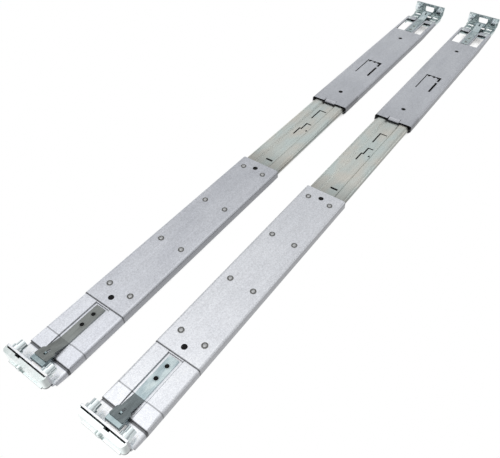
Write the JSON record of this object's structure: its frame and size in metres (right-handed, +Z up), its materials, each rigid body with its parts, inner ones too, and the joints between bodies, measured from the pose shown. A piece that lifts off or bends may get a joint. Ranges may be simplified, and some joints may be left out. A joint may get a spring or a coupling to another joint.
{
  "type": "sliding server rail pair",
  "caption": "Pair of telescoping ball-bearing slide rails for a rack server, with stepped post pins and spring latches at both ends.",
  "frame": {"origin": "on the bench under the middle of the pair of rails, which lie on their inner faces", "axes": "+X along the rails from the front of the rack to its rear, +Y across to the left rail, +Z up from the bench"},
  "size_m": [0.7358, 0.1202, 0.0246],
  "materials": {
    "galvanised_steel": "matt zinc-coated sheet",
    "bright_zinc": "bright blue-white zinc",
    "slide_steel": "bright rolled zinc-plated steel",
    "spring_steel": "satin spring strip",
    "retainer_steel": "satin strip",
    "buffer_plastic": "matt black"
  },
  "bodies": {
    "base": {"left_front_bracket": "galvanised_steel", "left_front_end_plate": "bright_zinc", "left_thumbscrew_bush": "bright_zinc", "left_front_guide_pins": "bright_zinc", "left_front_latch_spring": "spring_steel", "left_slide_outer_member": "slide_steel", "left_outer_member_races": "slide_steel", "left_rear_stop_buffer": "buffer_plastic", "right_front_bracket": "galvanised_steel", "right_front_end_plate": "bright_zinc", "right_thumbscrew_bush": "bright_zinc", "right_front_guide_pins": "bright_zinc", "right_front_latch_spring": "spring_steel", "right_slide_outer_member": "slide_steel", "right_outer_member_races": "slide_steel", "right_rear_stop_buffer": "buffer_plastic"},
    "left_front_latch": {"left_front_latch_arm": "spring_steel", "left_front_latch_hook": "bright_zinc"},
    "left_rear": {"left_rear_bracket": "galvanised_steel", "left_rear_bracket_walls": "galvanised_steel", "left_rear_end_bracket": "bright_zinc", "left_rear_guide_pins": "bright_zinc", "left_rear_latch_spring": "spring_steel"},
    "left_rear_latch": {"left_rear_latch_arm": "spring_steel", "left_rear_latch_hook": "bright_zinc"},
    "left_intermediate": {"left_intermediate_member": "slide_steel", "left_intermediate_skirts": "slide_steel"},
    "left_inner": {"left_inner_member": "slide_steel", "left_inner_member_flanges": "slide_steel"},
    "left_outer_cage": {"left_outer_ball_cage": "retainer_steel"},
    "left_inner_cage": {"left_inner_ball_cage": "retainer_steel"},
    "right_front_latch": {"right_front_latch_arm": "spring_steel", "right_front_latch_hook": "bright_zinc"},
    "right_rear": {"right_rear_bracket": "galvanised_steel", "right_rear_bracket_walls": "galvanised_steel", "right_rear_end_bracket": "bright_zinc", "right_rear_guide_pins": "bright_zinc", "right_rear_latch_spring": "spring_steel"},
    "right_rear_latch": {"right_rear_latch_arm": "spring_steel", "right_rear_latch_hook": "bright_zinc"},
    "right_intermediate": {"right_intermediate_member": "slide_steel", "right_intermediate_skirts": "slide_steel"},
    "right_inner": {"right_inner_member": "slide_steel", "right_inner_member_flanges": "slide_steel"},
    "right_outer_cage": {"right_outer_ball_cage": "retainer_steel"},
    "right_inner_cage": {"right_inner_ball_cage": "retainer_steel"}
  },
  "joints": [
    {"name": "left_front_latch_press", "type": "hinge", "parent": "base", "child": "left_front_latch", "pos_m": [-0.33155, 0.0381, 0.0107], "axis": [0, -1, 0], "range_deg": [0, 7], "stiffness_Nm_per_rad": 1},
    {"name": "left_rear_bracket_slide", "type": "slide", "parent": "base", "child": "left_rear", "axis": [1, 0, 0], "range_m": [-0.055, 0.094]},
    {"name": "left_rear_latch_press", "type": "hinge", "parent": "left_rear", "child": "left_rear_latch", "pos_m": [0.32815, 0.0381, 0.0116], "axis": [0, 1, 0], "range_deg": [0, 7], "stiffness_Nm_per_rad": 1},
    {"name": "left_intermediate_slide", "type": "slide", "parent": "base", "child": "left_intermediate", "axis": [-1, 0, 0], "range_m": [0, 0.3]},
    {"name": "left_inner_slide", "type": "slide", "parent": "left_intermediate", "child": "left_inner", "axis": [-1, 0, 0], "range_m": [0, 0.3]},
    {"name": "left_outer_cage_roll", "type": "slide", "parent": "base", "child": "left_outer_cage", "axis": [-1, 0, 0], "range_m": [0, 0.15]},
    {"name": "left_inner_cage_roll", "type": "slide", "parent": "left_intermediate", "child": "left_inner_cage", "axis": [-1, 0, 0], "range_m": [0, 0.15]},
    {"name": "right_front_latch_press", "type": "hinge", "parent": "base", "child": "right_front_latch", "pos_m": [-0.33155, -0.0381, 0.0107], "axis": [0, -1, 0], "range_deg": [0, 7], "stiffness_Nm_per_rad": 1},
    {"name": "right_rear_bracket_slide", "type": "slide", "parent": "base", "child": "right_rear", "axis": [1, 0, 0], "range_m": [-0.0646, 0.0844]},
    {"name": "right_rear_latch_press", "type": "hinge", "parent": "right_rear", "child": "right_rear_latch", "pos_m": [0.33775, -0.0381, 0.0116], "axis": [0, 1, 0], "range_deg": [0, 7], "stiffness_Nm_per_rad": 1},
    {"name": "right_intermediate_slide", "type": "slide", "parent": "base", "child": "right_intermediate", "axis": [-1, 0, 0], "range_m": [0, 0.3]},
    {"name": "right_inner_slide", "type": "slide", "parent": "right_intermediate", "child": "right_inner", "axis": [-1, 0, 0], "range_m": [0, 0.3]},
    {"name": "right_outer_cage_roll", "type": "slide", "parent": "base", "child": "right_outer_cage", "axis": [-1, 0, 0], "range_m": [0, 0.15]},
    {"name": "right_inner_cage_roll", "type": "slide", "parent": "right_intermediate", "child": "right_inner_cage", "axis": [-1, 0, 0], "range_m": [0, 0.15]}
  ],
  "couplings": [
    {"joint": "left_outer_cage_roll", "follows": "left_intermediate_slide", "ratio": 0.5},
    {"joint": "left_inner_cage_roll", "follows": "left_inner_slide", "ratio": 0.5},
    {"joint": "right_outer_cage_roll", "follows": "right_intermediate_slide", "ratio": 0.5},
    {"joint": "right_inner_cage_roll", "follows": "right_inner_slide", "ratio": 0.5}
  ]
}
